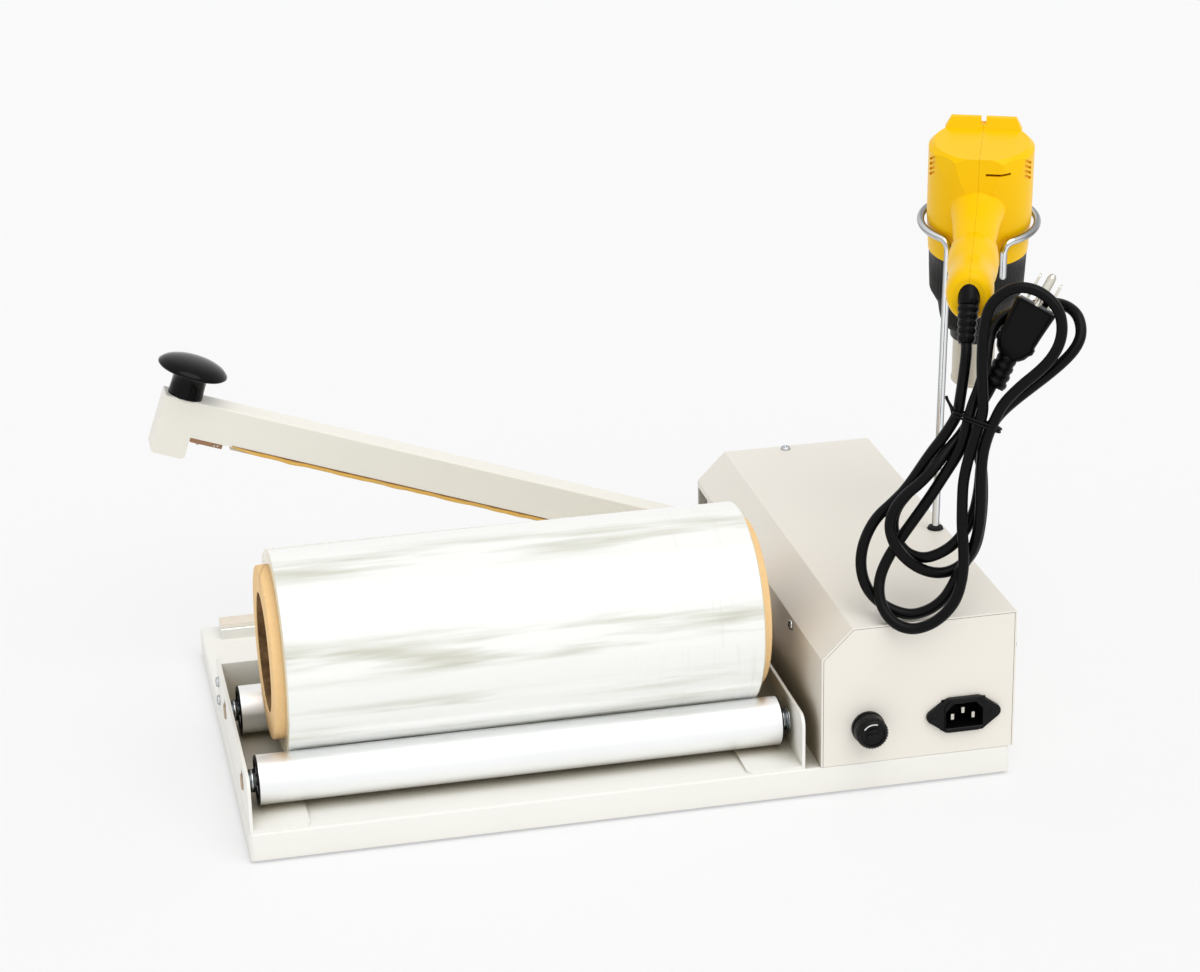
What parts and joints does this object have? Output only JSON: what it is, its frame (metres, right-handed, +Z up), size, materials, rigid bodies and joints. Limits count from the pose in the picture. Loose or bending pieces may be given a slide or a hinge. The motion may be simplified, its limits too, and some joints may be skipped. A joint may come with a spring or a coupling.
{
  "type": "i-bar sealer",
  "caption": "Table-top shrink-film sealer: a hinged hot-wire arm over a fixed jaw, a film roll on rollers, and a heat gun hung on a bent-wire stand.",
  "frame": {"origin": "middle of the base's footprint, on the table", "axes": "+X from the knob end to the housing, -Y towards the side with the mains inlet, +Z up"},
  "size_m": [0.595, 0.3619, 0.3927],
  "materials": {
    "base_enamel": "smooth enamel",
    "bare_steel": "brushed",
    "zinc": "zinc plated",
    "foot_rubber": "matte",
    "roller_alu": "satin",
    "black_plastic": "fine grain",
    "black_gloss": "gloss",
    "film": "clear film in many layers",
    "cardboard": "spiral-wound board",
    "jaw_alu": "satin",
    "jaw_rubber": "silicone",
    "tape": "coated glass cloth",
    "insulator": "laminate board",
    "element": "flat resistance strip",
    "chrome": "bright",
    "bronze": "sintered",
    "housing_enamel": "smooth enamel",
    "arm_enamel": "smooth enamel",
    "pin_brass": "plated",
    "copper": "wound and taped",
    "board": "circuit board",
    "gun_yellow": "moulded",
    "cord_rubber": "satin",
    "mica": "matte",
    "nozzle_steel": "heat tinted",
    "spring_steel": "drawn",
    "laminations": "varnished"
  },
  "bodies": {
    "base": {"base_pan": "base_enamel", "bottom_plate": "bare_steel", "rubber_feet": "foot_rubber", "roller_plate_left": "base_enamel", "roller_plate_right": "base_enamel", "cradle_cross_wall": "base_enamel", "roller_axles": "zinc", "lower_jaw_bar": "jaw_alu", "jaw_rubber": "jaw_rubber", "jaw_tape": "tape", "pivot_bracket": "bare_steel", "pivot_pin": "zinc", "return_spring": "spring_steel", "housing_cover": "housing_enamel", "front_panel": "housing_enamel", "back_panel": "housing_enamel", "body_screws": "zinc", "inlet_body": "black_plastic", "inlet_pins": "pin_brass", "fuse_holder": "black_gloss", "timer_control": "bare_steel", "switch_frame": "black_plastic", "transformer_core": "laminations", "transformer_coil": "copper", "timer_board": "board", "arm_switch": "black_plastic", "stand_rod": "chrome", "stand_grommet": "foot_rubber"},
    "sealing_arm": {"arm_channel": "arm_enamel", "arm_insulator": "insulator", "sealing_element": "element", "arm_tape": "tape", "tension_clamp": "bare_steel", "arm_fasteners": "zinc", "arm_knob": "black_gloss", "arm_bushing": "bronze"},
    "film_roll": {"film_wrap": "film", "film_core": "cardboard"},
    "front_roller": {"front_roller_tube": "roller_alu", "front_roller_plugs": "black_plastic"},
    "rear_roller": {"rear_roller_tube": "roller_alu", "rear_roller_plugs": "black_plastic"},
    "heat_gun": {"gun_left_shell": "gun_yellow", "gun_right_shell": "gun_yellow", "gun_shroud": "black_plastic", "gun_nozzle": "nozzle_steel", "gun_motor": "bare_steel", "gun_heater": "mica", "gun_switch_body": "black_plastic", "gun_strain_relief": "cord_rubber", "gun_lead": "cord_rubber", "lead_hank": "cord_rubber", "lead_tie": "black_plastic", "lead_plug": "black_plastic", "plug_prongs": "pin_brass"},
    "gun_fan": {"gun_fan": "black_plastic"},
    "gun_rocker": {"gun_switch_rocker": "black_gloss"},
    "fuse_cap": {"fuse_cap": "black_gloss"},
    "timer_knob": {"timer_knob": "black_plastic"},
    "power_rocker": {"power_rocker": "black_gloss"}
  },
  "joints": [
    {"name": "arm_hinge", "type": "hinge", "parent": "base", "child": "sealing_arm", "pos_m": [0.1565, 0.1473, 0.054], "axis": [0, 1, 0], "range_deg": [-19.5, 0], "stiffness_Nm_per_rad": 1.5, "springref_deg": 68.75, "deforming": ["return_spring"]},
    {"name": "film_roll_spin", "type": "hinge", "parent": "base", "child": "film_roll", "pos_m": [-0.0635, -0.074, 0.10354], "axis": [1, 0, 0], "continuous": true},
    {"name": "front_roller_spin", "type": "hinge", "parent": "base", "child": "front_roller", "pos_m": [-0.0685, -0.1265, 0.04], "axis": [1, 0, 0], "continuous": true},
    {"name": "rear_roller_spin", "type": "hinge", "parent": "base", "child": "rear_roller", "pos_m": [-0.0685, -0.0215, 0.04], "axis": [1, 0, 0], "continuous": true},
    {"name": "gun_lift", "type": "slide", "parent": "base", "child": "heat_gun", "axis": [-0.0413, -0.1519, 0.9875], "range_m": [0, 0.13]},
    {"name": "gun_fan_spin", "type": "hinge", "parent": "heat_gun", "child": "gun_fan", "pos_m": [0.27745, 0.00581, 0.36203], "axis": [-0.0413, -0.1519, 0.9875], "continuous": true},
    {"name": "gun_switch_rock", "type": "hinge", "parent": "heat_gun", "child": "gun_rocker", "pos_m": [0.25324, -0.05282, 0.30218], "axis": [0.9303, -0.3664, -0.0175], "range_deg": [-8, 8]},
    {"name": "fuse_cap_turn", "type": "hinge", "parent": "base", "child": "fuse_cap", "pos_m": [0.1518, -0.1625, 0.046], "axis": [0, 1, 0], "range_deg": [0, 90]},
    {"name": "timer_knob_turn", "type": "hinge", "parent": "base", "child": "timer_knob", "pos_m": [0.221, 0.17, 0.0825], "axis": [0, 1, 0], "range_deg": [-150, 150]},
    {"name": "power_rocker_rock", "type": "hinge", "parent": "base", "child": "power_rocker", "pos_m": [0.221, 0.1605, 0.0485], "axis": [0, 0, 1], "range_deg": [-20, 0]}
  ],
  "couplings": [
    {"joint": "front_roller_spin", "follows": "film_roll_spin", "ratio": -4.1732},
    {"joint": "rear_roller_spin", "follows": "film_roll_spin", "ratio": -4.1732}
  ]
}
